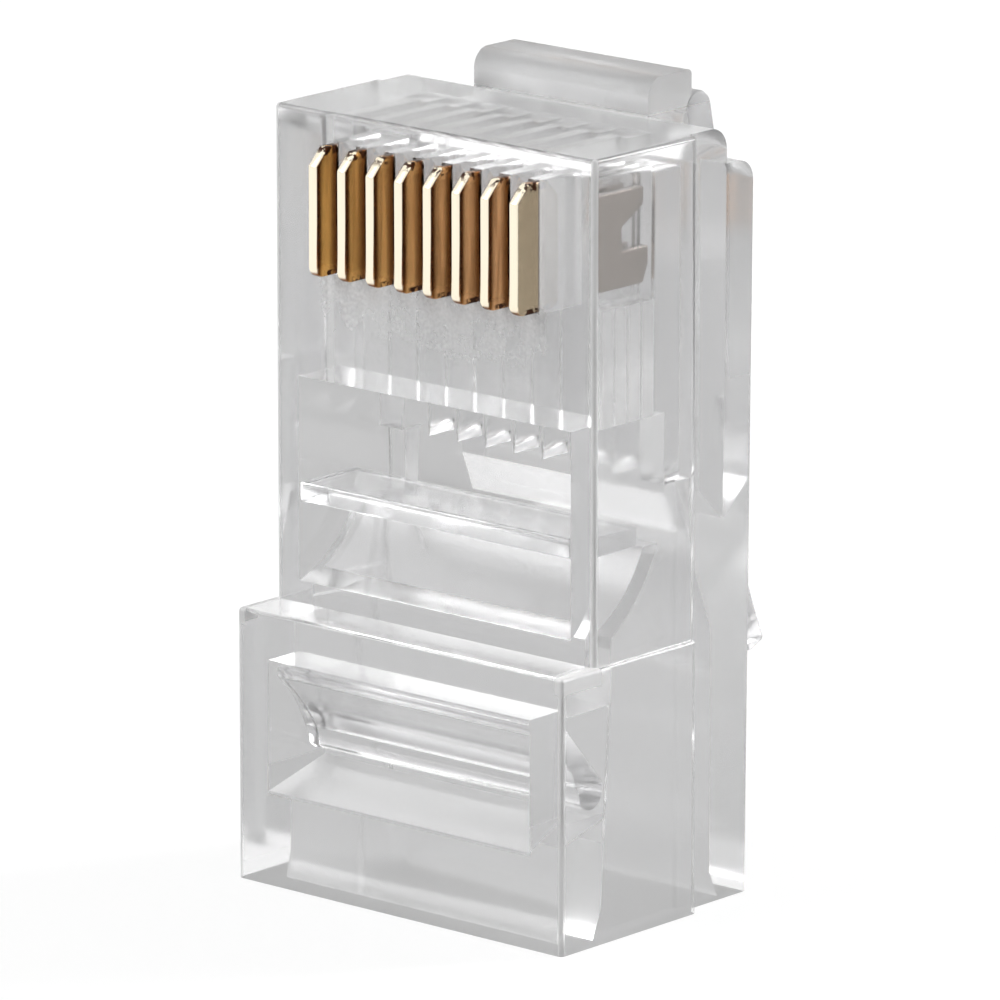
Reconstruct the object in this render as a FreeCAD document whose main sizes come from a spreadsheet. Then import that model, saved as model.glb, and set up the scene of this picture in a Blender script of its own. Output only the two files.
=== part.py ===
"""Eight-position modular plug (8P8C), unterminated, for round or flat cable.

The clear housing is one moulding. Its latch lever and its two strain reliefs
bend at thin webs, so each of them is a part of its own, hinged where the web is.
Eight gold-plated contacts stand proud of the contact face, ready to be crimped.

Frame: +Z points from the cable entry to the nose, the contact face looks to -Y,
the latch lies on the +Y side, and the origin is the middle of the cable entry.
Inside each sub-part the sketches measure depth (y) from the contact face and
height (z) from the rear end; the Placement then moves them into the frame.
"""

import FreeCAD, Part

import math
import os
import re

import Sketcher

SIZES = [
    # housing, outside
    ("body_length", 21.46),
    ("nose_width", 11.4),
    ("block_width", 11.68),
    ("floor_depth", 5.7),
    ("rail_height", 1.1),
    ("rail_draft", 0.2),
    ("block_step", 1.46),
    ("block_height", 7.66),
    ("panel_depth", 4.1),
    ("side_relief", 0.25),
    ("edge_radius", 0.12),
    # latch channel between the two rails
    ("channel_width", 6.8),
    ("channel_length", 10.2),
    ("channel_ramp", 0.9),
    ("rail_setback", 1.04),
    ("rail_radius", 0.6),
    ("nose_radius", 0.65),
    # cable cavity
    ("cavity_width", 9.75),
    ("jacket_near", 0.65),
    ("jacket_far", 5.4),
    ("mouth_flare", 0.35),
    ("mouth_height", 0.8),
    ("throat_near", 1.15),
    ("throat_drop", 13.26),
    ("wire_near", 3.3),
    ("wire_far", 4.33),
    ("funnel_drop", 13.86),
    ("funnel_end_drop", 11.06),
    # wire channels and contact slots
    ("contact_count", 8),
    ("contact_pitch", 1.02),
    ("rib_thickness", 0.12),
    ("rib_end", 9.44),
    ("rib_tip", 0.04),
    ("rib_taper", 0.6),
    ("channel_end_wall", 0.95),
    ("slot_clearance", 0.05),
    # windows in the contact side
    ("wire_window_top", 7.46),
    ("clamp_bar_drop", 10.4),
    ("clamp_bar_height", 0.6),
    ("clamp_bar_depth", 2.25),
    ("ramp_wall", 0.55),
    ("jacket_window_width", 9.4),
    ("jacket_window_low", 2.68),
    ("jacket_window_high", 6.36),
    ("jacket_sill_rise", 0.67),
    # jacket clamp
    ("clamp_hinge_depth", 0.5),
    ("clamp_hinge_drop", 0.36),
    ("clamp_hinge_radius", 0.3),
    ("clamp_tip_half", 0.5),
    ("clamp_face_radius", 4.0),
    ("clamp_length", 2.4),
    ("clamp_rest_angle", 36.0),
    # contacts
    ("contact_thickness", 0.3),
    ("contact_proud", 0.85),
    ("contact_top", 0.85),
    ("contact_height", 3.55),
    ("contact_shoulder", 0.45),
    ("contact_shoulder_depth", 0.6),
    ("contact_bar_depth", 2.2),
    ("contact_tip_depth", 3.25),
    ("prong_height", 1.0),
    ("prong_tip_drop", 0.5),
    ("contact_bevel", 0.47),
    ("contact_radius", 0.3),
    ("prong_bevel", 0.2),
    # latch
    ("latch_width", 6.22),
    ("lever_width", 3.25),
    ("latch_thickness", 1.05),
    ("latch_length", 16.7),
    ("latch_shoulder", 8.3),
    ("latch_angle", 12.0),
    ("tail_bend", 12.7),
    ("tail_tip_thickness", 0.7),
    ("latch_standoff", 1.65),
    ("latch_pivot_drop", 0.15),
    ("root_bite", 0.5),
    ("root_lip", 0.35),
    ("root_seat_wall", 0.12),
    ("root_rise", 1.03),
    ("root_toe", 1.2),
    ("root_front_radius", 0.55),
    ("root_back_radius", 0.15),
    # fits
    ("hinge_clearance", 0.05),
    ("side_clearance", 0.1),
    ("cut_overrun", 1.0),
]

# the depth of the latch side, which the two rails make
RAIL_TOP = "(floor_depth + rail_height)"

# how far a point lies from an edge when the edge is tested, the cosine between the faces of
# a smooth edge, and the volume that counts as nothing
PROBE = 0.01
SMOOTH = 0.9
NOTHING = 1e-6


def make_sheet(doc):
    """Puts the driving dimensions into a spreadsheet, one alias a row."""
    sheet = doc.addObject("Spreadsheet::Sheet", "sizes")
    for row, (name, value) in enumerate(SIZES, start=1):
        sheet.set("A%d" % row, name)
        sheet.set("B%d" % row, str(value))
        sheet.setAlias("B%d" % row, name)
    doc.recompute()
    return sheet


def bind(text):
    """Points each size named in an expression at the sheet."""
    return re.sub(r"\b([a-z]+(?:_[a-z]+)+)\b", r"sizes.\1", text)


def number(owner, text):
    """The value that an expression has now."""
    value = owner.evalExpression(bind(text))
    return float(getattr(value, "Value", value))


def make_body(doc, label, depth="0", height="0"):
    """A body whose own y and z start at a given depth and height."""
    body = doc.addObject("PartDesign::Body", label)
    body.Label = label
    middle = "(jacket_near + jacket_far) / 2"
    body.setExpression("Placement.Base.y", bind("%s - %s" % (depth, middle)))
    body.setExpression("Placement.Base.z", bind(height))
    return body


def origin_feature(body, role):
    """One of the body's own origin planes or axes."""
    return [item for item in body.Origin.OriginFeatures if item.Role == role][0]


def new_sketch(body, name, plane, offset=None):
    """A sketch on one of the body's own origin planes."""
    sketch = body.newObject("Sketcher::SketchObject", name)
    sketch.AttachmentSupport = [(origin_feature(body, plane), "")]
    sketch.MapMode = "FlatFace"
    if offset is not None:
        sketch.setExpression("AttachmentOffset.Base.z", bind(offset))
    return sketch


def arc_between(start, end, radius, turn):
    """The short arc from start to end; turn is 1 anticlockwise, -1 clockwise."""
    chord = end - start
    half = chord.Length / 2
    rise = math.sqrt(max(radius * radius - half * half, 0.0))
    side = FreeCAD.Vector(-chord.y, chord.x, 0).normalize() * turn
    centre = (start + end) / 2 + side * rise
    first, last = (start, end) if turn > 0 else (end, start)
    low = math.atan2(first.y - centre.y, first.x - centre.x)
    high = math.atan2(last.y - centre.y, last.x - centre.x)
    if high < low:
        high += 2 * math.pi
    circle = Part.Circle(centre, FreeCAD.Vector(0, 0, 1), radius)
    return Part.ArcOfCircle(circle, low, high)


def pin_vertex(sketch, edge, spot, across, up, place):
    """Fixes one end of an edge at the values of two expressions."""
    for kind, text, axis, value in (("DistanceX", across, -2, place.x), ("DistanceY", up, -1, place.y)):
        if text == "0":
            sketch.addConstraint(Sketcher.Constraint("PointOnObject", edge, spot, axis))
            continue
        index = sketch.addConstraint(Sketcher.Constraint(kind, -1, 1, edge, spot, value))
        sketch.setExpression("Constraints[%d]" % index, bind(text))


def draw_outline(sketch, corners):
    """Draws a closed outline through corners and binds each of them.

    A corner is (across, up) with a straight edge to the next corner, or
    (across, up, radius, turn) with an arc to it. All are expressions.
    """
    places = [FreeCAD.Vector(number(sketch, c[0]), number(sketch, c[1]), 0) for c in corners]
    ends = []
    for index, corner in enumerate(corners):
        start = places[index]
        end = places[(index + 1) % len(corners)]
        if len(corner) == 2:
            edge = sketch.addGeometry(Part.LineSegment(start, end), False)
            ends.append((edge, 1, 2))
            continue
        arc = arc_between(start, end, number(sketch, corner[2]), corner[3])
        edge = sketch.addGeometry(arc, False)
        ends.append((edge, 1, 2) if corner[3] > 0 else (edge, 2, 1))
    for index, (edge, _, last) in enumerate(ends):
        following, first, _ = ends[(index + 1) % len(ends)]
        sketch.addConstraint(Sketcher.Constraint("Coincident", edge, last, following, first))
    for (edge, first, _), corner, place in zip(ends, corners, places):
        pin_vertex(sketch, edge, first, corner[0], corner[1], place)
        if len(corner) > 2:
            radius = number(sketch, corner[2])
            index = sketch.addConstraint(Sketcher.Constraint("Radius", edge, radius))
            sketch.setExpression("Constraints[%d]" % index, bind(corner[2]))
    return sketch


def extrude(body, kind, name, sketch, length):
    """A Pad or a Pocket of a sketch, both ways from its plane."""
    feature = body.newObject("PartDesign::" + kind, name)
    feature.Profile = sketch
    feature.SideType = "Symmetric"
    feature.setExpression("Length", bind(length))
    sketch.Visibility = False
    body.Document.recompute()
    return feature


def cut(body, name, sketch, length):
    """A Pocket that is checked to take material away."""
    before = body.Shape.Volume
    feature = extrude(body, "Pocket", name, sketch, length)
    if feature.Shape.Volume > before - NOTHING:
        raise RuntimeError("%s takes nothing away" % name)
    return feature


def repeat_across(body, name, features, count, spacing):
    """Repeats features along X at a spacing."""
    pattern = body.newObject("PartDesign::LinearPattern", name)
    pattern.Originals = features
    pattern.Direction = (origin_feature(body, "X_Axis"), [""])
    pattern.setExpression("Length", bind("(%s - 1) * %s" % (count, spacing)))
    pattern.setExpression("Occurrences", bind(count))
    body.Tip = pattern
    body.Document.recompute()
    return pattern


def stands_out(shape, edge):
    """Whether an edge is a sharp outer one: neither smooth nor in an inner corner."""
    middle = edge.valueAt((edge.FirstParameter + edge.LastParameter) / 2)
    faces = shape.ancestorsOfType(edge, Part.Face)
    one, other = [face.normalAt(*face.Surface.parameter(middle)) for face in faces]
    if one.dot(other) > SMOOTH:
        return False
    return not shape.isInside(middle + (one - other) * PROBE, PROBE / 10, False)


def round_outer_edges(body, name, radius, floor):
    """Fillets each sharp outer edge of the body that lies above a floor height."""
    base = body.Tip
    lowest = number(body, floor)
    picked = []
    for index, edge in enumerate(base.Shape.Edges, start=1):
        if edge.BoundBox.ZMax > lowest + PROBE and stands_out(base.Shape, edge):
            picked.append("Edge%d" % index)
    fillet = body.newObject("PartDesign::Fillet", name)
    fillet.Base = (base, picked)
    fillet.setExpression("Radius", bind(radius))
    body.Document.recompute()
    return fillet


def first_place(count="contact_count", spacing="contact_pitch"):
    """Where the first of a row stands, so that the row is centred."""
    return "-(%s - 1) / 2 * %s" % (count, spacing)


def make_housing(doc):
    """The clear moulding: body, rails, latch root, cavity, windows and slots."""
    body = make_body(doc, "housing")
    add_shell(body)
    add_latch_channel(body)
    add_latch_root(body)
    cut_cable_cavity(body)
    cut_windows(body)
    cut_contact_row(body)
    return body


def add_shell(body):
    """The outside of the moulding: slim nose, rear block and recessed flanks."""
    nose = new_sketch(body, "nose_outline", "YZ_Plane")
    draw_outline(nose, [
        ("0", "0"),
        (RAIL_TOP + " - rail_draft", "0"),
        (RAIL_TOP, "body_length - rail_setback - rail_radius", "rail_radius", 1),
        (RAIL_TOP + " - rail_radius", "body_length - rail_setback"),
        ("floor_depth", "body_length - rail_setback"),
        ("floor_depth", "body_length - nose_radius", "nose_radius", 1),
        ("floor_depth - nose_radius", "body_length"),
        ("0", "body_length"),
    ])
    extrude(body, "Pad", "nose", nose, "nose_width")
    block = new_sketch(body, "block_outline", "YZ_Plane")
    draw_outline(block, [
        ("-block_step", "0"),
        ("panel_depth", "0"),
        ("panel_depth", "block_height"),
        ("-block_step", "block_height"),
    ])
    extrude(body, "Pad", "rear_block", block, "block_width")
    round_outer_edges(body, "outer_edges", "edge_radius", "0")
    flanks = new_sketch(body, "flank_outline", "XY_Plane")
    for way in ("", "-"):
        draw_flank(flanks, way)
    cut(body, "flanks", flanks, "2 * (body_length + cut_overrun)")


def draw_flank(sketch, way):
    """One of the two flank recesses, on the side that the sign names."""
    inner = "%s(nose_width / 2 - side_relief)" % way
    outer = "%s(block_width / 2 + side_relief)" % way
    draw_outline(sketch, [
        (inner, "panel_depth"),
        (outer, "panel_depth"),
        (outer, RAIL_TOP + " + side_relief"),
        (inner, RAIL_TOP + " + side_relief"),
    ])


def add_latch_channel(body):
    """The open channel between the rails that the latch is pressed into."""
    side = new_sketch(body, "channel_outline", "YZ_Plane")
    draw_outline(side, [
        ("floor_depth", "body_length"),
        ("floor_depth", "body_length - channel_length"),
        ("floor_depth + channel_ramp", "body_length - channel_length - channel_ramp"),
        (RAIL_TOP + " + channel_ramp", "body_length - channel_length - channel_ramp"),
        (RAIL_TOP + " + channel_ramp", "body_length"),
    ])
    cut(body, "latch_channel", side, "channel_width")


def add_latch_root(body):
    """The bump past the nose that the latch bends from, with its seat."""
    top = "body_length - latch_pivot_drop"
    crest = "body_length + root_rise"
    seat = "(latch_thickness / 2 + hinge_clearance)"
    reach = "sqrt(%s^2 - root_lip^2)" % seat
    start = "(floor_depth - root_bite)"
    end = "(floor_depth + latch_standoff - root_lip)"
    hollow = "(floor_depth + latch_standoff - %s)" % seat
    side = new_sketch(body, "root_outline", "YZ_Plane")
    draw_outline(side, [
        (start, "body_length"),
        (start, "body_length - root_toe"),
        ("floor_depth", "body_length - root_toe"),
        (hollow + " - root_seat_wall", "body_length - root_toe / 2"),
        (hollow + " - root_seat_wall", top),
        (hollow, top, seat, -1),
        (end, "%s + %s" % (top, reach)),
        (end, crest + " - root_back_radius", "root_back_radius", 1),
        (end + " - root_back_radius", crest),
        (start + " + root_front_radius", crest, "root_front_radius", 1),
        (start, crest + " - root_front_radius"),
    ])
    extrude(body, "Pad", "latch_root", side, "latch_width")


def throat_radius():
    """The radius that turns the throat from the jacket side into the wire side."""
    drop = "(wire_near - throat_near)"
    rise = "(throat_drop - rib_end)"
    return "(%s^2 + %s^2) / (2 * %s)" % (drop, rise, drop)


def cut_cable_cavity(body):
    """The cable cavity: mouth, jacket room, curved throat and wire room."""
    side = new_sketch(body, "cavity_outline", "YZ_Plane")
    draw_outline(side, [
        ("jacket_near - mouth_flare", "0"),
        ("jacket_far + mouth_flare", "0"),
        ("jacket_far", "mouth_height"),
        ("jacket_far", "body_length - funnel_drop"),
        ("wire_far", "body_length - funnel_end_drop"),
        ("wire_far", "body_length - rib_end"),
        ("wire_near", "body_length - rib_end", throat_radius(), -1),
        ("throat_near", "body_length - throat_drop"),
        ("jacket_near", "mouth_height"),
    ])
    cut(body, "cable_cavity", side, "cavity_width")


def cut_windows(body):
    """The wire window over its ramp, and the jacket window in the rear block."""
    radius = "(%s - ramp_wall)" % throat_radius()
    centre = "(wire_near - %s)" % throat_radius()
    pivot = "(body_length - rib_end)"
    shelf = "(body_length - clamp_bar_drop - clamp_bar_height)"
    back = "%s + sqrt(%s^2 - (%s - %s)^2)" % (centre, radius, pivot, shelf)
    foot = "%s - sqrt(%s^2 - %s^2)" % (pivot, radius, centre)
    side = new_sketch(body, "window_outline", "YZ_Plane")
    draw_outline(side, [
        ("0", foot, radius, 1),
        (back, shelf),
        ("wire_near", shelf),
        ("wire_near", "body_length - wire_window_top"),
        ("0", "body_length - wire_window_top"),
    ])
    cut(body, "wire_window", side, "cavity_width")
    block = new_sketch(body, "jacket_window_outline", "YZ_Plane")
    draw_outline(block, [
        ("-block_step", "jacket_window_low"),
        ("throat_near", "jacket_window_low + jacket_sill_rise"),
        ("throat_near", "jacket_window_high"),
        ("-block_step", "jacket_window_high"),
    ])
    cut(body, "jacket_window", block, "jacket_window_width")


def cut_contact_row(body):
    """Eight wire channels side by side, each with its contact slot."""
    offset = first_place()
    channel = new_sketch(body, "channel_bore_outline", "YZ_Plane", offset)
    draw_outline(channel, [
        ("wire_near", "body_length - rib_end - rib_thickness"),
        ("wire_far", "body_length - rib_end - rib_thickness"),
        ("wire_far", "body_length - channel_end_wall"),
        ("wire_near", "body_length - channel_end_wall"),
    ])
    bores = cut(body, "wire_channel", channel, "contact_pitch - rib_thickness")
    flares = cut_channel_mouth(body)
    slot = new_sketch(body, "slot_outline", "YZ_Plane", offset)
    top = "body_length - contact_top + slot_clearance"
    low = "body_length - contact_top - contact_height - slot_clearance"
    draw_outline(slot, [("0", low), ("wire_near", low), ("wire_near", top), ("0", top)])
    slots = cut(body, "contact_slot", slot, "contact_thickness + 2 * slot_clearance")
    repeat_across(body, "contact_row", [bores, flares, slots], "contact_count", "contact_pitch")


def cut_channel_mouth(body):
    """Flares the first channel's mouth, so that its ribs end in thin tips."""
    mouth = new_sketch(body, "mouth_outline", "XZ_Plane", "-(wire_near + wire_far) / 2")
    corners = []
    for sign, heights in (("-", (1, 0, -1)), ("+", (-1, 0, 1))):
        for height in heights:
            rib = "rib_thickness" if height > 0 else "rib_tip"
            across = "%s %s (contact_pitch - %s) / 2" % (first_place(), sign, rib)
            up = "body_length - rib_end %s rib_taper" % ("+" if height > 0 else "-")
            corners.append((across, up if height else "body_length - rib_end"))
    draw_outline(mouth, corners)
    return cut(body, "channel_mouth", mouth, "wire_far - wire_near")


def make_latch(doc):
    """The latch lever: a wide root with square shoulders and a slim curved tail."""
    pivot = "floor_depth + latch_standoff"
    body = make_body(doc, "latch_lever", pivot, "body_length - latch_pivot_drop")
    body.Placement.Rotation = FreeCAD.Rotation(FreeCAD.Vector(1, 0, 0), 1)
    body.setExpression("Placement.Rotation.Angle", bind("latch_angle"))
    half = "latch_thickness / 2"
    bow = "((latch_length - latch_shoulder) * 180 / (pi * tail_bend))"
    tip = "(%s * (1 - cos(tail_bend)))" % bow
    foot = "(-latch_shoulder - %s * sin(tail_bend))" % bow
    lean = "tail_tip_thickness / 2 * cos(tail_bend)"
    rise = "tail_tip_thickness / 2 * sin(tail_bend)"
    side = new_sketch(body, "lever_outline", "YZ_Plane")
    draw_outline(side, [
        ("-" + half, "0"),
        ("-" + half, "-latch_shoulder", bow, 1),
        ("%s - %s" % (tip, lean), "%s - %s" % (foot, rise)),
        ("%s + %s" % (tip, lean), "%s + %s" % (foot, rise), bow, -1),
        (half, "-latch_shoulder"),
        (half, "0", half, 1),
        ("0", half, half, 1),
    ])
    extrude(body, "Pad", "lever", side, "latch_width")
    tail = new_sketch(body, "tail_outline", "XZ_Plane")
    for way in ("", "-"):
        inner = "%slever_width / 2" % way
        outer = "%s(latch_width / 2 + cut_overrun)" % way
        draw_outline(tail, [
            (inner, "-latch_shoulder"),
            (outer, "-latch_shoulder"),
            (outer, "-latch_length - cut_overrun"),
            (inner, "-latch_length - cut_overrun"),
        ])
    cut(body, "tail", tail, "2 * latch_length")
    return body


def make_wire_clamp(doc):
    """The secondary strain relief: a bar across the wire window."""
    height = "body_length - clamp_bar_drop - clamp_bar_height + hinge_clearance"
    body = make_body(doc, "wire_clamp_bar", "0", height)
    side = new_sketch(body, "bar_outline", "YZ_Plane")
    draw_outline(side, [
        ("0", "0"),
        ("clamp_bar_depth", "0"),
        ("clamp_bar_depth", "clamp_bar_height - hinge_clearance"),
        ("0", "clamp_bar_height - hinge_clearance"),
    ])
    extrude(body, "Pad", "bar", side, "cavity_width - 2 * hinge_clearance")
    return body


def make_jacket_clamp(doc):
    """The primary strain relief: a wedge flap hinged at the top of its window."""
    depth = "-block_step + clamp_hinge_depth"
    body = make_body(doc, "jacket_clamp_flap", depth, "jacket_window_high - clamp_hinge_drop")
    body.Placement.Rotation = FreeCAD.Rotation(FreeCAD.Vector(1, 0, 0), 1)
    body.setExpression("Placement.Rotation.Angle", bind("clamp_rest_angle"))
    side = new_sketch(body, "flap_outline", "YZ_Plane")
    draw_outline(side, [
        ("-clamp_hinge_radius", "0", "clamp_face_radius", -1),
        ("-clamp_tip_half", "-clamp_length", "clamp_tip_half", 1),
        ("0", "-clamp_length - clamp_tip_half", "clamp_tip_half", 1),
        ("clamp_tip_half", "-clamp_length"),
        ("clamp_hinge_radius", "0", "clamp_hinge_radius", 1),
        ("0", "clamp_hinge_radius", "clamp_hinge_radius", 1),
    ])
    extrude(body, "Pad", "flap", side, "jacket_window_width - 2 * side_clearance")
    return body


def make_contact(doc, index):
    """One gold-plated contact blade with shoulders and two piercing prongs."""
    body = make_body(doc, "contact_%d" % (index + 1), "0", "body_length - contact_top")
    body.setExpression("Placement.Base.x", bind("%s + %d * contact_pitch" % (first_place(), index)))
    low = "-contact_height"
    rim = "contact_shoulder"
    side = new_sketch(body, "blade_outline", "YZ_Plane")
    draw_outline(side, [
        ("-contact_proud", "-contact_bevel"),
        ("-contact_proud", "%s + contact_radius" % low, "contact_radius", 1),
        ("-contact_proud + contact_radius", low),
        ("contact_shoulder_depth", low),
        ("contact_shoulder_depth", "%s + %s" % (low, rim)),
        ("contact_bar_depth", "%s + %s" % (low, rim)),
        ("contact_tip_depth - prong_bevel", "%s + %s" % (low, rim)),
        ("contact_tip_depth", "%s + %s + prong_tip_drop" % (low, rim)),
        ("contact_tip_depth", "%s + %s + prong_height" % (low, rim)),
        ("contact_bar_depth", "%s + %s + prong_height" % (low, rim)),
        ("contact_bar_depth", "-%s - prong_height" % rim),
        ("contact_tip_depth - prong_bevel", "-%s - prong_tip_drop" % rim),
        ("contact_tip_depth - prong_bevel", "-%s" % rim),
        ("contact_shoulder_depth", "-" + rim),
        ("contact_shoulder_depth", "0"),
        ("-contact_proud + contact_bevel", "0"),
    ])
    extrude(body, "Pad", "blade", side, "contact_thickness")
    return body


def check_document(doc, bodies):
    """Stops if any object failed or any sub-part has no sound shape."""
    doc.recompute()
    for item in doc.Objects:
        if "Invalid" in item.State or "Error" in item.State:
            raise RuntimeError("%s is %s" % (item.Label, item.State))
    for body in bodies:
        if body.Shape.isNull() or not body.Shape.isValid():
            raise RuntimeError("%s has no valid shape" % body.Label)
        if len(body.Shape.Solids) != 1:
            raise RuntimeError("%s is %d solids" % (body.Label, len(body.Shape.Solids)))


def main():
    """Builds the plug and writes one STEP file a sub-part."""
    doc = FreeCAD.newDocument("modular_plug")
    sheet = make_sheet(doc)
    bodies = [make_housing(doc), make_latch(doc), make_wire_clamp(doc), make_jacket_clamp(doc)]
    for index in range(int(sheet.contact_count)):
        bodies.append(make_contact(doc, index))
    check_document(doc, bodies)
    os.makedirs("parts", exist_ok=True)
    for body in bodies:
        body.Shape.exportStep("parts/%s.step" % body.Label)
        box = body.Shape.BoundBox
        print("%-18s %8.3f mm3  x %.2f..%.2f  y %.2f..%.2f  z %.2f..%.2f" % (
            body.Label, body.Shape.Volume, box.XMin, box.XMax, box.YMin, box.YMax, box.ZMin, box.ZMax))


main()
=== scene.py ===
"""Clear eight-position modular plug, dressed round its packed construction model.

Lengths are metres. The plug stands on its cable-entry end: +Z points to the nose,
the contact side looks to -Y and the latch lies on the +Y side. Every piece takes
its place from the frame, so nothing here is fitted by hand.
"""

import logging
import math
from dataclasses import dataclass
from enum import Enum
from typing import Any, Callable, Optional, Union

import bmesh
import bpy
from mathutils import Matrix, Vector


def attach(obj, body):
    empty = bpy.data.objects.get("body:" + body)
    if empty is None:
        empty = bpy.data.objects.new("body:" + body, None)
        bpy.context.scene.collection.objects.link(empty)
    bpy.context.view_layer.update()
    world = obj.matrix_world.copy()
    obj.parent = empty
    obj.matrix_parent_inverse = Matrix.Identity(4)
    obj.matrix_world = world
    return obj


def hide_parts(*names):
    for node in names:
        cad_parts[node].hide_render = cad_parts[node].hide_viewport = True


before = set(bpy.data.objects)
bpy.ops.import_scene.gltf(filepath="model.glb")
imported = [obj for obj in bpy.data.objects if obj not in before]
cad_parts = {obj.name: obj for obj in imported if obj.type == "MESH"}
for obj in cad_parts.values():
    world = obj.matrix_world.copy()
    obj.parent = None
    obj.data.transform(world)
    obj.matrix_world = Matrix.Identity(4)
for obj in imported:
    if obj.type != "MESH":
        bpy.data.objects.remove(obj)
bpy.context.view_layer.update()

log = logging.getLogger("modular_plug")

Colour = tuple[float, float, float]
EdgeTest = Callable[[bmesh.types.BMEdge], bool]

MM = 0.001

# the housing's own faces and hollows, which its finish follows:
# the nose, and the latch root above it
NOSE_SIDE = 5.7 * MM
NOSE_FACE = -3.025 * MM
NOSE_TOP = 21.3 * MM
ROOT_LOW = 21.5 * MM
# the rear block
SIDE = 5.6 * MM
BLOCK_SIDE = 5.84 * MM
BLOCK_FACE = -4.485 * MM
BLOCK_TOP = 7.2 * MM
# the rails beside the latch
RAIL_FLOOR = 2.75 * MM
RAIL_SIDE = 5.3 * MM
RAIL_LOW = 12.0 * MM
RAIL_HIGH = 16.0 * MM
# the textured patch under the contacts
PATCH_SIDE = 4.1 * MM
PATCH_LOW = 13.6 * MM
PATCH_HIGH = 17.2 * MM
# the sloping sill of the jacket window
SILL_SIDE = 4.72 * MM
SILL_BOTTOM = 2.6 * MM
SILL_TOP = 3.42 * MM
SILL_REACH = 3.5 * MM
# the wire channels
CHANNEL_SIDE = 4.2 * MM
CHANNEL_NEAR = -1.0 * MM
CHANNEL_FAR = 1.4 * MM
CHANNEL_LOW = 14.2 * MM
CHANNEL_HIGH = 17.3 * MM

# how soft the step at a mask's border is
CRISP_STEP = 0.02 * MM
SOFT_STEP = 0.1 * MM
SOFTER_STEP = 0.2 * MM
SOFTEST_STEP = 0.4 * MM

# how wide the painted highlight on an upright corner is, how deep a face's own
# finish reaches, and how much of its length an upright edge runs along Z
CORNER = 0.14 * MM
FACE_DEPTH = 0.02 * MM
UPRIGHT = 0.9


class LampShape(Enum):
    """The shapes of area lamp in the studio."""

    SQUARE = "SQUARE"
    STRIP = "RECTANGLE"


class Sock:
    """A shader socket that can be used in Python arithmetic.

    Each operator adds one Math node to the tree that the socket belongs to.
    """

    def __init__(self, shader: "Shader", socket: bpy.types.NodeSocket) -> None:
        """Wraps a socket of a shader."""
        self.shader = shader
        self.socket = socket

    def _math(self, operation: str, *values: Any) -> "Sock":
        """Adds a Math node on values, which are wrapped sockets or numbers."""
        settings = {"operation": operation}
        return self.shader.get("ShaderNodeMath", 0, settings, dict(enumerate(values)))

    def __add__(self, other: Any) -> "Sock":
        """self + other."""
        return self._math("ADD", self, other)

    def __radd__(self, other: Any) -> "Sock":
        """other + self."""
        return self._math("ADD", other, self)

    def __sub__(self, other: Any) -> "Sock":
        """self - other."""
        return self._math("SUBTRACT", self, other)

    def __rsub__(self, other: Any) -> "Sock":
        """other - self."""
        return self._math("SUBTRACT", other, self)

    def __mul__(self, other: Any) -> "Sock":
        """self * other."""
        return self._math("MULTIPLY", self, other)

    def __rmul__(self, other: Any) -> "Sock":
        """other * self."""
        return self._math("MULTIPLY", other, self)

    def most(self, other: Any) -> "Sock":
        """The larger of self and other."""
        return self._math("MAXIMUM", self, other)

    def size(self) -> "Sock":
        """self without its sign."""
        return self._math("ABSOLUTE", self)

    def past(self, limit: float, soft: float = CRISP_STEP) -> "Sock":
        """A mask that is 1 above a limit and 0 below it, with a soft step."""
        return self.ramp(limit - soft, limit + soft)

    def short_of(self, limit: float, soft: float = CRISP_STEP) -> "Sock":
        """A mask that is 1 below a limit and 0 above it, with a soft step."""
        return 1 - self.past(limit, soft)

    def ramp(self, low: float, high: float) -> "Sock":
        """A smooth step.

        Args:
            low: Where it starts, at 0.
            high: Where it ends, at 1.

        Returns:
            The step, from 0 to 1.
        """
        settings = {"interpolation_type": "SMOOTHSTEP"}
        inputs = {0: self, 1: low, 2: high}
        return self.shader.get("ShaderNodeMapRange", 0, settings, inputs)


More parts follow.
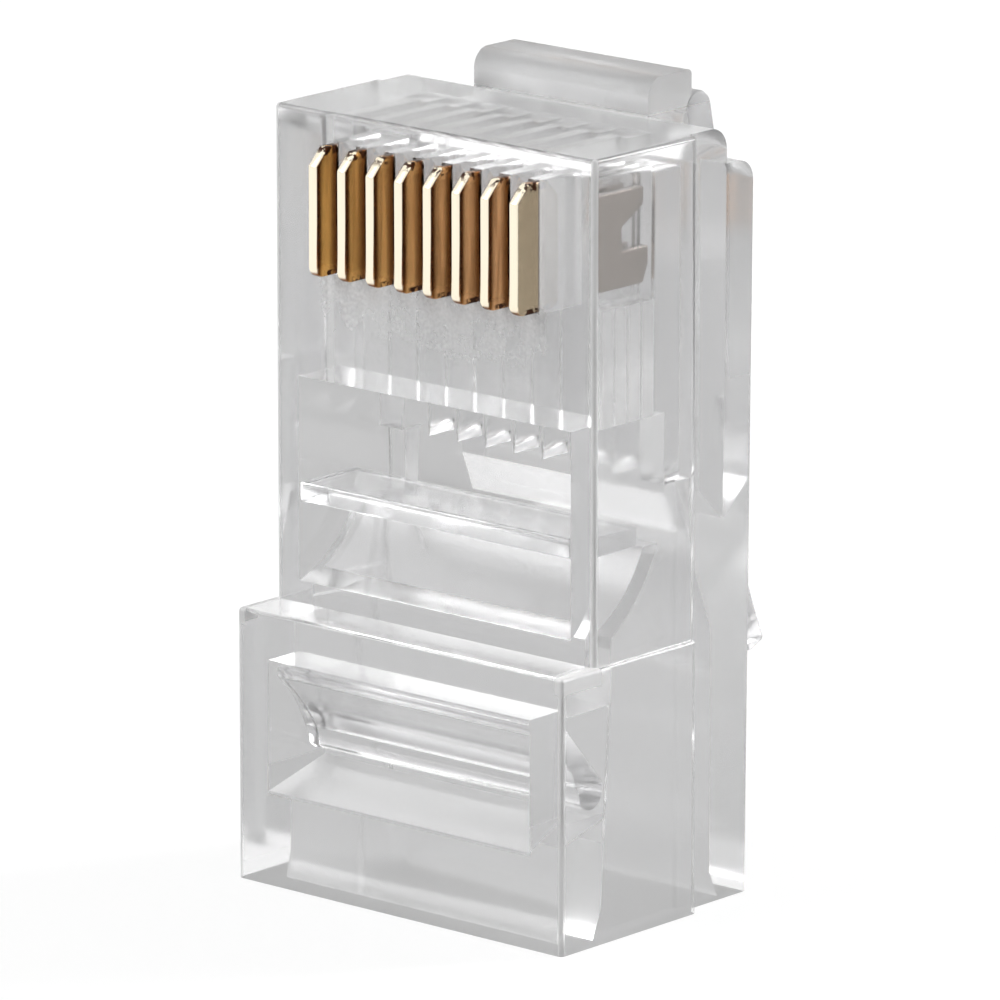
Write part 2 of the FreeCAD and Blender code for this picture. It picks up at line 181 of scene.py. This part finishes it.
class Shader:
    """Builds one node tree of a material or a world."""

    def __init__(self, owner: Union[bpy.types.Material, bpy.types.World]) -> None:
        """Empties the owner's node tree and starts it again.

        Args:
            owner: The material or world.
        """
        owner.use_nodes = True
        self.tree = owner.node_tree
        self.tree.nodes.clear()
        self._object: Optional[Sock] = None

    def node(self, kind: str, settings: dict[str, Any],
             inputs: dict[Any, Any]) -> bpy.types.Node:
        """Adds a node.

        Args:
            kind: The node's type.
            settings: Its own properties, which are set first.
            inputs: Values or wrapped sockets by input name or index.

        Returns:
            The new node.
        """
        made = self.tree.nodes.new(kind)
        for name, value in settings.items():
            setattr(made, name, value)
        for name, value in inputs.items():
            if isinstance(value, Sock):
                self.tree.links.new(value.socket, made.inputs[name])
            else:
                made.inputs[name].default_value = value
        return made

    def get(self, kind: str, output: Any, settings: dict[str, Any],
            inputs: dict[Any, Any]) -> Sock:
        """Adds a node and wraps one of its outputs."""
        return Sock(self, self.node(kind, settings, inputs).outputs[output])

    def place(self) -> Sock:
        """The Object coordinates, made once for each tree.

        Returns:
            The coordinates as a vector.
        """
        if self._object is None:
            self._object = self.get("ShaderNodeTexCoord", "Object", {}, {})
        return self._object

    def axes(self) -> tuple[Sock, Sock, Sock]:
        """The Object coordinates as X, Y and Z."""
        split = self.node("ShaderNodeSeparateXYZ", {}, {0: self.place()})
        return tuple(Sock(self, split.outputs[i]) for i in range(3))

    def noise(self, size: float, detail: float = 2.0, long: float = 1.0) -> Sock:
        """Noise whose blotches are about a given size across.

        Args:
            size: The size of a blotch, in metres.
            detail: How many finer layers are added.
            long: How much longer than wide a blotch is, along Z.

        Returns:
            The noise, from 0 to 1.
        """
        place = self.get("ShaderNodeMapping", 0, {}, {
            "Vector": self.place(), "Scale": (1, 1, 1 / long)})
        return self.get("ShaderNodeTexNoise", 0, {}, {
            "Vector": place, "Scale": 1 / size, "Detail": detail})

    def mix(self, share: Any, low: Union[Sock, Colour],
            high: Union[Sock, Colour]) -> Sock:
        """Mixes two colours.

        Args:
            share: How much of the second colour there is, from 0 to 1.
            low: The first colour.
            high: The second colour.

        Returns:
            The mixed colour.
        """
        low, high = (c if isinstance(c, Sock) else (*c, 1) for c in (low, high))
        inputs = {0: share, 6: low, 7: high}
        return self.get("ShaderNodeMix", 2, {"data_type": "RGBA"}, inputs)

    def bump(self, height: Sock, depth: float, under: Optional[Sock] = None) -> Sock:
        """A normal that is bent by a height pattern.

        Args:
            height: The pattern, from 0 to 1.
            depth: How deep it is, in metres.
            under: A normal that is bent already, if there is one.

        Returns:
            The normal.
        """
        inputs = {"Height": height, "Distance": depth}
        if under is not None:
            inputs["Normal"] = under
        return self.get("ShaderNodeBump", "Normal", {}, inputs)


@dataclass(frozen=True)
class ClearPlastic:
    """Moulded polycarbonate: clear, a little milky, duller where the tool marked it.

    Attributes:
        name: The material's name.
        tint: The plastic's own colour.
        clarity: The share of the light that passes.
        frost: The roughness everywhere.
        haze: The roughness that cloudy places add.
        dull: The roughness that tool marks add.
        corner_highlight: How white the painted highlight on the upright front corners
            is.
        rail_highlight: How white the painted highlight on the rails' upper sides is.
        texture: How white the patch under the contacts is.
        milk: The colour of a whitened place.
        shade: How dark the tint is where it is darkest.
        end_marks: How marked the nose end is.
        root_marks: How marked the latch's root is.
        channel_marks: How marked the wire channels are.
        cloud_size: The size of a cloudy place.
        fine_size: The size of the finest specks.
        speckle_size: The size of the patch's blotches.
        speckle_least: How white the patch is between its blotches.
        speckle_low: The noise below which there is no blotch.
        speckle_high: The noise above which a blotch is full.
        ripple: How deep the mould's ripples are.
        ripple_size: How wide they are.
        grain: How deep the tool marks' grain is.
        grain_size: How wide it is.
        index: The index of refraction.
    """

    name: str
    tint: Colour
    clarity: float
    frost: float
    haze: float
    dull: float = 0.35
    corner_highlight: float = 0.6
    rail_highlight: float = 0.0
    texture: float = 0.75
    milk: Colour = (0.97, 0.97, 0.97)
    shade: float = 0.97
    end_marks: float = 0.3
    root_marks: float = 0.6
    channel_marks: float = 0.2
    cloud_size: float = 2.2 * MM
    fine_size: float = 0.12 * MM
    speckle_size: float = 0.7 * MM
    speckle_least: float = 0.25
    speckle_low: float = 0.3
    speckle_high: float = 0.6
    ripple: float = 0.0005 * MM
    ripple_size: float = 1.6 * MM
    grain: float = 0.004 * MM
    grain_size: float = 0.1 * MM
    index: float = 1.585

    def tool_marks(self, x: Sock, y: Sock, z: Sock) -> Sock:
        """A mask of the faces that the mould tool leaves dull.

        Args:
            x: The place along X.
            y: The place along Y.
            z: The place along Z.

        Returns:
            The mask of the nose end, the jacket window's sill and the wire channels.
        """
        end = self.end_marks * z.past(NOSE_TOP) + self.root_marks * z.past(ROOT_LOW)
        sill = z.past(SILL_BOTTOM) * z.short_of(SILL_TOP) * x.size().short_of(SILL_SIDE)
        sill = sill * y.short_of(BLOCK_FACE + SILL_REACH)
        deep = y.past(CHANNEL_NEAR) * y.short_of(CHANNEL_FAR)
        along = z.past(CHANNEL_LOW, SOFTEST_STEP)
        along = along * z.short_of(CHANNEL_HIGH, SOFTER_STEP)
        channels = self.channel_marks * along * deep * x.size().short_of(CHANNEL_SIDE)
        return end.most(sill).most(channels)

    def corner_highlight_mask(self, x: Sock, y: Sock, z: Sock) -> Sock:
        """A mask of the upright front corners, where a painted highlight goes.

        Args:
            x: The place along X.
            y: The place along Y.
            z: The place along Z.

        Returns:
            The mask of the nose's and the rear block's front corners.
        """
        nose = x.size().past(NOSE_SIDE - CORNER) * y.short_of(NOSE_FACE + CORNER)
        nose = nose * z.past(BLOCK_TOP)
        block = x.size().past(BLOCK_SIDE - CORNER) * y.short_of(BLOCK_FACE + CORNER)
        return nose.most(block)

    def patch(self, x: Sock, y: Sock, z: Sock) -> Sock:
        """A mask of the textured patch on the nose's face, under the contacts.

        Args:
            x: The place along X.
            y: The place along Y.
            z: The place along Z.

        Returns:
            The mask, which grows from nothing to full towards the contacts.
        """
        along = z.ramp(PATCH_LOW, PATCH_HIGH) * z.short_of(PATCH_HIGH, SOFTER_STEP)
        across = x.size().short_of(PATCH_SIDE, SOFTEST_STEP)
        return along * across * y.short_of(NOSE_FACE + FACE_DEPTH)

    def rails(self, x: Sock, y: Sock, z: Sock) -> Sock:
        """A mask of the upper part of the rails' outer sides, where a painted highlight
        goes.
        """
        upper = z.ramp(RAIL_LOW, RAIL_HIGH)
        return y.past(RAIL_FLOOR, SOFT_STEP) * x.size().past(RAIL_SIDE) * upper

    def make(self) -> bpy.types.Material:
        """Makes the material.

        Returns:
            The finished material.
        """
        made = bpy.data.materials.new(self.name)
        shader = Shader(made)
        x, y, z = shader.axes()
        cloud = shader.noise(self.cloud_size, detail=3.0)
        fine = shader.noise(self.fine_size)
        dark = tuple(c * self.shade for c in self.tint)
        marks = self.tool_marks(x, y, z)
        smooth = shader.bump(shader.noise(self.ripple_size, detail=1.0), self.ripple)
        grain = shader.noise(self.grain_size, detail=3.0) * marks
        body = shader.get("ShaderNodeBsdfPrincipled", 0, {}, {
            "Base Color": shader.mix(cloud, dark, self.tint),
            "Roughness": self.frost + self.haze * cloud * fine + self.dull * marks,
            "IOR": self.index,
            "Transmission Weight": self.clarity,
            "Normal": shader.bump(grain, self.grain, smooth),
        })
        milky = shader.get("ShaderNodeBsdfDiffuse", 0, {}, {"Color": (*self.milk, 1)})
        blotch = shader.noise(self.speckle_size, detail=3.0)
        blotch = blotch.ramp(self.speckle_low, self.speckle_high)
        speckle = self.speckle_least + (1 - self.speckle_least) * fine * blotch
        # painted highlight: a whiter milky band along the nose's and the rear block's
        # upright front corners
        white = self.corner_highlight * self.corner_highlight_mask(x, y, z)
        # painted highlight: a whiter milky band on the upper part of the rails' outer
        # sides
        white = white.most(self.rail_highlight * self.rails(x, y, z))
        white = white.most(self.texture * self.patch(x, y, z) * speckle)
        layers = {0: white, 1: body, 2: milky}
        surface = shader.get("ShaderNodeMixShader", 0, {}, layers)
        shader.node("ShaderNodeOutputMaterial", {}, {"Surface": surface})
        return made


@dataclass(frozen=True)
class GoldPlate:
    """Gold over phosphor bronze, with a painted highlight on the rubbing edge and
    painted shade towards the root.

    Attributes:
        name: The material's name.
        edge: The painted highlight colour of the rubbing edge and its bevel.
        flank: The colour of the painted light band on the flanks on the -X side of the
            row.
        far_flank: The colour of the painted light band on the flanks on the +X side of
            the row.
        root: The painted shade beside the rubbing edge and at the slot, off the light
            band.
        outer: The colour of the last blade's outer flank.
        buried: The colour inside the housing.
        end_shade: The colour of the painted shade spots at both ends of a blade.
        roughness: The plating's middle roughness.
        front: Where the rubbing edge is, along Y.
        top: Where the blade ends, along Z.
        foot: Where the blade starts, along Z.
        bevel: The size of the rubbing edge's bevel.
        last_side: Past where along X the last blade's outer flank is.
        warm_side: Where along X the flanks start to turn to the far colour.
        cool_side: Where along X they have turned.
        edge_width: How wide the rubbing edge is.
        bevel_spare: How much wider than itself the bevel is coloured.
        edge_soft: How soft those two stop.
        lit_from: Where along the flank its light band starts.
        lit_full: Where the band is full.
        fade_from: Where the band starts to fade.
        fade_full: Where it has gone.
        streak_least: How light the band is between its streaks.
        streak_low: The noise below which there is no streak.
        streak_high: The noise above which a streak is full.
        streak_size: How wide a streak is.
        streak_long: How much longer than wide it is.
        end_shade_top: How far down from the top the painted shade spots reach.
        end_shade_foot: How far up from the foot they reach.
        end_shade_from: How far from the rubbing edge they start.
        end_shade_size: The size of a spot.
        end_shade_noise: The noise above which there is a spot.
        end_shade_soft: How soft its border is, in noise.
        cloud_size: The size of a duller place.
        polish: The share of the roughness at the brightest place.
        dulling: How much of it a duller place adds.
        grain: How deep the stamping grain is.
        grain_size: How wide it is.
    """

    name: str
    edge: Colour
    flank: Colour
    far_flank: Colour
    root: Colour
    outer: Colour
    buried: Colour
    end_shade: Colour
    roughness: float
    front: float = -3.875 * MM
    top: float = 20.61 * MM
    foot: float = 17.06 * MM
    bevel: float = 0.47 * MM
    last_side: float = 3.7 * MM
    warm_side: float = -4 * MM
    cool_side: float = 3 * MM
    edge_width: float = 0.05 * MM
    bevel_spare: float = 0.06 * MM
    edge_soft: float = 0.03 * MM
    lit_from: float = 0.1 * MM
    lit_full: float = 0.28 * MM
    fade_from: float = 0.44 * MM
    fade_full: float = 0.76 * MM
    streak_least: float = 0.62
    streak_low: float = 0.38
    streak_high: float = 0.62
    streak_size: float = 0.2 * MM
    streak_long: float = 14.0
    end_shade_top: float = 0.22 * MM
    end_shade_foot: float = 0.16 * MM
    end_shade_from: float = 0.3 * MM
    end_shade_size: float = 0.16 * MM
    end_shade_noise: float = 0.5
    end_shade_soft: float = 0.03
    cloud_size: float = 0.5 * MM
    polish: float = 0.7
    dulling: float = 0.6
    grain: float = 0.002 * MM
    grain_size: float = 0.05 * MM

    def end_shade_mask(self, shader: Shader, depth: Sock, z: Sock) -> Sock:
        """A mask of the painted shade spots at both ends of a blade.

        Args:
            shader: The material's shader.
            depth: The distance behind the rubbing edge.
            z: The place along Z.

        Returns:
            The mask.
        """
        upper = z.past(self.top - self.end_shade_top)
        ends = upper.most(z.short_of(self.foot + self.end_shade_foot))
        marks = shader.noise(self.end_shade_size).past(self.end_shade_noise, self.end_shade_soft)
        return ends * depth.past(self.end_shade_from, SOFT_STEP) * marks

    def edge_highlight_mask(self, depth: Sock, z: Sock) -> Sock:
        """A mask of the painted highlight on the rubbing edge and the bevel above it.

        Args:
            depth: The distance behind the rubbing edge.
            z: The place along Z.

        Returns:
            The mask.
        """
        edge = depth.short_of(self.edge_width, self.edge_soft)
        slope = depth + (self.top - z)
        return edge.most(slope.short_of(self.bevel + self.bevel_spare, self.edge_soft))

    def lit(self, shader: Shader, depth: Sock) -> Sock:
        """A mask of the light band along a flank, with its upright streaks.

        Args:
            shader: The material's shader.
            depth: The distance behind the rubbing edge.

        Returns:
            The mask.
        """
        streak = shader.noise(self.streak_size, detail=1.0, long=self.streak_long)
        streak = streak.ramp(self.streak_low, self.streak_high)
        fade = 1 - depth.ramp(self.fade_from, self.fade_full)
        band = depth.ramp(self.lit_from, self.lit_full) * fade
        return band * (self.streak_least + (1 - self.streak_least) * streak)

    def make(self) -> bpy.types.Material:
        """Makes the material.

        Returns:
            The finished material.
        """
        made = bpy.data.materials.new(self.name)
        shader = Shader(made)
        x, y, z = shader.axes()
        depth = y - self.front
        turn = x.ramp(self.warm_side, self.cool_side)
        colour = shader.mix(turn, self.flank, self.far_flank)
        # painted light and shade: the flank colour in the light band, the dark root
        # colour as painted shade elsewhere
        colour = shader.mix(self.lit(shader, depth), self.root, colour)
        colour = shader.mix(x.past(self.last_side), colour, self.outer)
        colour = shader.mix(y.past(NOSE_FACE), colour, self.buried)
        # painted highlight on the rubbing edge and its bevel
        colour = shader.mix(self.edge_highlight_mask(depth, z), colour, self.edge)
        # painted shade spots at both ends of a blade
        colour = shader.mix(self.end_shade_mask(shader, depth, z), colour, self.end_shade)
        cloud = shader.noise(self.cloud_size, detail=3.0)
        body = shader.get("ShaderNodeBsdfPrincipled", 0, {}, {
            "Base Color": colour,
            "Roughness": self.roughness * (self.polish + self.dulling * cloud),
            "Metallic": 1.0,
            "Normal": shader.bump(shader.noise(self.grain_size), self.grain),
        })
        shader.node("ShaderNodeOutputMaterial", {}, {"Surface": body})
        return made


CLEAR_HOUSING = ClearPlastic(
    "clear_housing", tint=(0.994, 0.994, 0.997), clarity=0.98, frost=0.09, haze=0.07,
    rail_highlight=0.35)
CLEAR_LATCH = ClearPlastic(
    "clear_latch", tint=(0.99, 0.99, 0.995), clarity=0.9, frost=0.1, haze=0.08)
CLEAR_CLAMP = ClearPlastic(
    "clear_clamp", tint=(0.99, 0.99, 0.995), clarity=0.99, frost=0.12, haze=0.05)
GOLD = GoldPlate(
    "gold_contact", edge=(0.98, 0.89, 0.71), flank=(1.0, 0.55, 0.15),
    far_flank=(1.0, 0.56, 0.26), root=(0.22, 0.08, 0.018), outer=(0.62, 0.5, 0.34),
    buried=(0.4, 0.35, 0.31), end_shade=(0.06, 0.02, 0.008), roughness=0.2)


@dataclass(frozen=True)
class Skin:
    """How a construction solid's edges are finished for the eye.

    Attributes:
        edge_radius: The rounding of the sharp edges.
        keep: Says which edges stay crisp, if any do.
        ease: Says which edges are rounded first and more, if any are.
        ease_radius: The rounding of those.
        segments: How many faces a rounding has.
        merge: How near two points are that count as one.
        flat_angle: The bend below which faces count as one.
        sharp_angle: The bend above which an edge is sharp.
        flat_weight: How much the large faces set the shading.
    """

    edge_radius: float
    keep: Optional[EdgeTest] = None
    ease: Optional[EdgeTest] = None
    ease_radius: float = 0.16 * MM
    segments: int = 2
    merge: float = 1e-7
    flat_angle: float = math.radians(0.3)
    sharp_angle: float = math.radians(28)
    flat_weight: int = 100

    def round_over(self, shape: bmesh.types.BMesh, radius: float,
                   pick: EdgeTest) -> None:
        """Rounds the sharp edges that are picked.

        Args:
            shape: The mesh.
            radius: The rounding's radius in metres.
            pick: Says which edges are rounded.
        """
        edges = [e for e in shape.edges if len(e.link_faces) == 2
                 and e.calc_face_angle(0.0) > self.sharp_angle and pick(e)]
        bmesh.ops.bevel(
            shape, geom=edges, offset=radius, offset_type="OFFSET", affect="EDGES",
            segments=self.segments, profile=0.5, material=-1, clamp_overlap=True)

    def dress(self, node: str, piece: str) -> bpy.types.Object:
        """Copies a construction node, welds it and breaks its sharp edges.

        Args:
            node: The construction node's name.
            piece: The new piece's name.

        Returns:
            The new piece, at the origin, not riding on anything yet.
        """
        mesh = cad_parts[node].data.copy()
        mesh.name = piece
        shape = bmesh.new()
        shape.from_mesh(mesh)
        bmesh.ops.remove_doubles(shape, verts=shape.verts, dist=self.merge)
        bmesh.ops.dissolve_limit(
            shape, angle_limit=self.flat_angle, verts=shape.verts, edges=shape.edges)
        if self.ease is not None:
            self.round_over(shape, self.ease_radius, self.ease)
        self.round_over(
            shape, self.edge_radius, lambda e: self.keep is None or not self.keep(e))
        bmesh.ops.triangulate(shape, faces=[f for f in shape.faces if len(f.verts) > 4])
        shape.to_mesh(mesh)
        shape.free()
        mesh.shade_smooth()
        mesh.set_sharp_from_angle(angle=self.sharp_angle)
        made = bpy.data.objects.new(piece, mesh)
        bpy.context.scene.collection.objects.link(made)
        flats = made.modifiers.new("flat_faces", "WEIGHTED_NORMAL")
        flats.mode = "FACE_AREA"
        flats.weight = self.flat_weight
        flats.keep_sharp = True
        return made


def finish_piece(piece: bpy.types.Object, body: str, node: str,
                 material: bpy.types.Material) -> None:
    """Seats a piece in the frame and gives it its finish.

    Args:
        piece: The new piece.
        body: The body that it moves with.
        node: The construction node that it stands for.
        material: Its material.
    """
    piece.data.materials.clear()
    piece.data.materials.append(material)
    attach(piece, body)
    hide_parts(node)
    log.info("%s: %d faces on body %s", piece.name, len(piece.data.polygons), body)


def is_corner(edge: bmesh.types.BMEdge) -> bool:
    """Whether an edge is one of the upright outer corners, which stay crisp.

    Args:
        edge: An edge of the housing.

    Returns:
        True for an upright edge on the plug's outer sides.
    """
    start, end = (v.co for v in edge.verts)
    outside = min(abs(start.x), abs(end.x)) > SIDE
    return outside and abs(start.z - end.z) > UPRIGHT * edge.calc_length()


def is_shoulder(edge: bmesh.types.BMEdge) -> bool:
    """Whether an edge is the rear block's upper front edge."""
    face = BLOCK_FACE + FACE_DEPTH
    return all(v.co.y < face and v.co.z > BLOCK_TOP for v in edge.verts)


@dataclass
class Moulding:
    """The clear moulding: the housing, its latch and its two strain reliefs.

    Attributes:
        edge: The rounding of the housing's edges.
        latch_edge: The rounding of the latch's edges.
        clamp_edge: The rounding of the two strain reliefs' edges.
    """

    edge: float = 0.04 * MM
    latch_edge: float = 0.12 * MM
    clamp_edge: float = 0.05 * MM

    def build(self) -> None:
        """Builds and dresses the four clear pieces."""
        clear = CLEAR_HOUSING.make()
        latch = CLEAR_LATCH.make()
        clamp = CLEAR_CLAMP.make()
        shell = Skin(self.edge, is_corner, is_shoulder).dress("housing", "clear_shell")
        finish_piece(shell, "housing", "housing", clear)
        lever = Skin(self.latch_edge).dress("latch_lever", "clear_lever")
        finish_piece(lever, "latch", "latch_lever", latch)
        bar = Skin(self.clamp_edge).dress("wire_clamp_bar", "clear_bar")
        finish_piece(bar, "wire_clamp", "wire_clamp_bar", clamp)
        flap = Skin(self.clamp_edge).dress("jacket_clamp_flap", "clear_flap")
        finish_piece(flap, "jacket_clamp", "jacket_clamp_flap", clamp)


@dataclass
class ContactRow:
    """The eight gold-plated contacts.

    Attributes:
        edge: The rounding of a blade's edges.
    """

    edge: float = 0.05 * MM

    def build(self) -> None:
        """Builds and dresses each contact."""
        gold = GOLD.make()
        names = sorted(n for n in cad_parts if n.startswith("contact_"))
        for name in names:
            blade = Skin(self.edge).dress(name, "gold_" + name)
            finish_piece(blade, name, name, gold)


@dataclass(frozen=True)
class AreaLamp:
    """An area lamp that looks at the middle of the plug.

    Attributes:
        name: The lamp's name.
        shape: Its shape.
        azimuth: Its direction round the plug, in degrees.
        elevation: Its height above the horizon, in degrees.
        away: Its distance in metres.
        width: Its width in metres.
        height: Its height in metres.
        power: Its power in watts.
    """

    name: str
    shape: LampShape
    azimuth: float
    elevation: float
    away: float
    width: float
    height: float
    power: float


KEY_LAMP = AreaLamp(
    "key", LampShape.SQUARE, azimuth=-35, elevation=40, away=0.35,
    width=0.2, height=0.2, power=0.5)
RIM_LAMP = AreaLamp(
    "rim", LampShape.STRIP, azimuth=150, elevation=30, away=0.35,
    width=0.1, height=0.25, power=0.8)


@dataclass
class Studio:
    """Camera, lamps, floor and the white surroundings.

    Attributes:
        azimuth: The camera's direction round the plug, in radians.
        elevation: The camera's height above the horizon, in radians.
        aim_height: How high camera and lamps look.
        distance: How far away the camera is.
        lens: The camera's focal length in millimetres.
        shift_x: The camera's shift sideways, as a share of its frame.
        shift_y: The camera's shift upwards, as a share of its frame.
        clip_near: The nearest that the camera sees.
        clip_far: The farthest that the camera sees.
        floor_size: The length of the floor's side.
        floor_sink: How far the plug's base sinks in, which hides the seam.
        floor_colour: The floor's own colour.
        floor_glow: What whitens the floor where it is seen or mirrored.
        floor_through_glow: What whitens it behind clear plastic.
        ambient: The light that the surroundings give.
        horizon_tone: How bright the horizon is behind clear plastic.
        zenith_tone: How bright the ceiling is there.
        low_sky: The height at which the ceiling's tone starts, from 0 to 1.
        high_sky: The height at which it is full.
        bounces: How often light may bounce or pass through.
        gloss_bounces: How often it may be mirrored.
        lamps: The lamps.
    """

    azimuth: float = math.radians(41.152)
    elevation: float = math.radians(14.12)
    aim_height: float = 10.7 * MM
    distance: float = 277.2 * MM
    lens: float = 368.5
    shift_x: float = -0.0074
    shift_y: float = 0.00245
    clip_near: float = 10 * MM
    clip_far: float = 10.0
    floor_size: float = 3.0
    floor_sink: float = 0.005 * MM
    floor_colour: Colour = (0.3, 0.3, 0.3)
    floor_glow: float = 0.76
    floor_through_glow: float = 0.26
    ambient: float = 0.5
    horizon_tone: float = 0.57
    zenith_tone: float = 1.6
    low_sky: float = 0.15
    high_sky: float = 0.75
    bounces: int = 24
    gloss_bounces: int = 12
    lamps: tuple[AreaLamp, ...] = (KEY_LAMP, RIM_LAMP)

    def stand(self, item: bpy.types.Object, azimuth: float, elevation: float,
              away: float) -> None:
        """Stands a camera or a lamp round the plug, so that it looks at the middle.

        Args:
            item: The camera or lamp.
            azimuth: Its direction round the plug, in radians.
            elevation: Its height above the horizon, in radians.
            away: Its distance in metres.
        """
        level = math.cos(elevation)
        back = Vector((
            math.sin(azimuth) * level, -math.cos(azimuth) * level, math.sin(elevation)))
        item.location = Vector((0, 0, self.aim_height)) + back * away
        item.rotation_mode = "QUATERNION"
        item.rotation_quaternion = (-back).to_track_quat("-Z", "Y")
        bpy.context.scene.collection.objects.link(item)

    def camera(self) -> None:
        """Adds the camera, a little above the plug and to the right of its face."""
        data = bpy.data.cameras.new("camera")
        data.lens = self.lens
        data.shift_x = self.shift_x
        data.shift_y = self.shift_y
        data.clip_start = self.clip_near
        data.clip_end = self.clip_far
        eye = bpy.data.objects.new("camera", data)
        self.stand(eye, self.azimuth, self.elevation, self.distance)
        bpy.context.scene.camera = eye

    def light(self, lamp: AreaLamp) -> None:
        """Adds a lamp.

        Args:
            lamp: What the lamp is like.
        """
        data = bpy.data.lights.new(lamp.name, "AREA")
        data.shape = lamp.shape.value
        data.size, data.size_y = lamp.width, lamp.height
        data.energy = lamp.power
        made = bpy.data.objects.new(lamp.name, data)
        azimuth, elevation = math.radians(lamp.azimuth), math.radians(lamp.elevation)
        self.stand(made, azimuth, elevation, lamp.away)

    def floor(self) -> None:
        """Adds the pale floor that the plug stands on."""
        shape = bmesh.new()
        half = self.floor_size / 2
        bmesh.ops.create_grid(shape, x_segments=1, y_segments=1, size=half)
        mesh = bpy.data.meshes.new("floor")
        shape.to_mesh(mesh)
        shape.free()
        floor = bpy.data.objects.new("floor", mesh)
        floor.location.z = self.floor_sink
        bpy.context.scene.collection.objects.link(floor)
        material = bpy.data.materials.new("pale_floor")
        shader = Shader(material)
        seen, through = self.rays(shader)
        colour = (*self.floor_colour, 1)
        base = shader.get("ShaderNodeBsdfDiffuse", 0, {}, {"Color": colour})
        strength = self.floor_glow * seen + self.floor_through_glow * through
        glow = shader.get("ShaderNodeEmission", 0, {}, {"Strength": strength})
        both = shader.get("ShaderNodeAddShader", 0, {}, {0: base, 1: glow})
        shader.node("ShaderNodeOutputMaterial", {}, {"Surface": both})
        mesh.materials.append(material)

    def rays(self, shader: Shader) -> tuple[Sock, Sock]:
        """What looks at the surroundings.

        Args:
            shader: The shader of the floor or the world.

        Returns:
            A mask of camera and mirrored rays, and one of rays through clear plastic.
        """
        path = shader.node("ShaderNodeLightPath", {}, {})
        through = Sock(shader, path.outputs["Is Transmission Ray"])
        gloss = Sock(shader, path.outputs["Is Glossy Ray"]) * (1 - through)
        return Sock(shader, path.outputs["Is Camera Ray"]) + gloss, through

    def surroundings(self) -> None:
        """Sets the world: white where it is seen, plainer as a light."""
        world = bpy.data.worlds.new("white_studio")
        bpy.context.scene.world = world
        shader = Shader(world)
        seen, through = self.rays(shader)
        way = shader.get("ShaderNodeTexCoord", "Generated", {}, {})
        height = shader.get("ShaderNodeSeparateXYZ", 2, {}, {0: way})
        overhead = height.ramp(self.low_sky, self.high_sky)
        behind = self.horizon_tone + (self.zenith_tone - self.horizon_tone) * overhead
        strength = seen + through * behind + (1 - seen) * (1 - through) * self.ambient
        glow = shader.get("ShaderNodeBackground", 0, {}, {
            "Color": (1, 1, 1, 1), "Strength": strength})
        shader.node("ShaderNodeOutputWorld", {}, {"Surface": glow})

    def build(self) -> None:
        """Sets up everything round the plug."""
        scene = bpy.context.scene
        scene.view_settings.view_transform = "Standard"
        scene.cycles.max_bounces = self.bounces
        scene.cycles.transmission_bounces = self.bounces
        scene.cycles.glossy_bounces = self.gloss_bounces
        self.camera()
        self.floor()
        self.surroundings()
        for lamp in self.lamps:
            self.light(lamp)


def main() -> None:
    """Builds the plug and its studio."""
    logging.basicConfig(level=logging.INFO, format="%(name)s %(message)s")
    Moulding().build()
    ContactRow().build()
    Studio().build()


if __name__ == "__main__":
    main()
